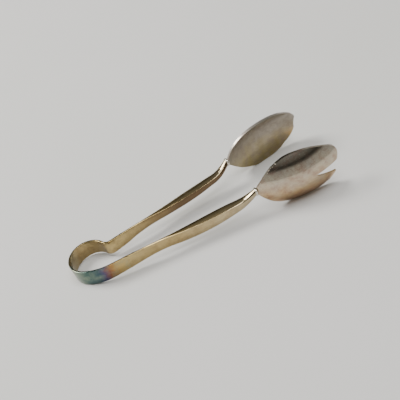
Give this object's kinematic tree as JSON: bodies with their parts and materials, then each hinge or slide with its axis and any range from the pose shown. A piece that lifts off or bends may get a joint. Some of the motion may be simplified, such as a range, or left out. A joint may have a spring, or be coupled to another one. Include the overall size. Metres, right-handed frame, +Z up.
{
  "type": "ice tongs",
  "caption": "Silver-plated serving tongs: a sprung omega bow, two tapering arms, a dished spoon bowl facing a two-tined fork bowl, for lifting ice cubes.",
  "frame": {"origin": "on the table, under the middle of the tongs' bounding box as they lie", "axes": "+X from the loop of the bow to the bowls' tips, +Y to the spoon's side, +Z up from the table"},
  "size_m": [0.1822, 0.063, 0.0343],
  "materials": {
    "bow_plate": "tarnished silver plate over nickel silver, toned blue-green at the loop",
    "shank_plate": "tarnished silver plate over nickel silver, polished",
    "spoon_bowl_plate": "tarnished silver plate over nickel silver, grey-brown in the hollow",
    "fork_bowl_plate": "tarnished silver plate over nickel silver, toned brown on the back",
    "solder": "silver solder, plated over"
  },
  "bodies": {
    "bow": {"bow_spring": "bow_plate"},
    "spoon_arm": {"spoon_shank": "shank_plate", "spoon_scarf_solder": "solder", "spoon_neck_bead": "solder", "spoon_bowl": "spoon_bowl_plate"},
    "fork_arm": {"fork_shank": "shank_plate", "fork_scarf_solder": "solder", "fork_neck_bead": "solder", "fork_bowl": "fork_bowl_plate"}
  },
  "joints": [
    {"name": "spoon_arm_flex", "type": "hinge", "parent": "bow", "child": "spoon_arm", "pos_m": [-0.07711, 0.01591, 0.00702], "axis": [0.0765, 0, -0.9971], "range_deg": [-2.5, 7.6], "stiffness_Nm_per_rad": 4, "deforming": ["bow_spring"]},
    {"name": "fork_arm_flex", "type": "hinge", "parent": "bow", "child": "fork_arm", "pos_m": [-0.07711, -0.00051, 0.00702], "axis": [-0.0765, 0, 0.9971], "range_deg": [-2.5, 7.6], "stiffness_Nm_per_rad": 4}
  ],
  "couplings": [
    {"joint": "fork_arm_flex", "follows": "spoon_arm_flex", "ratio": 1}
  ]
}
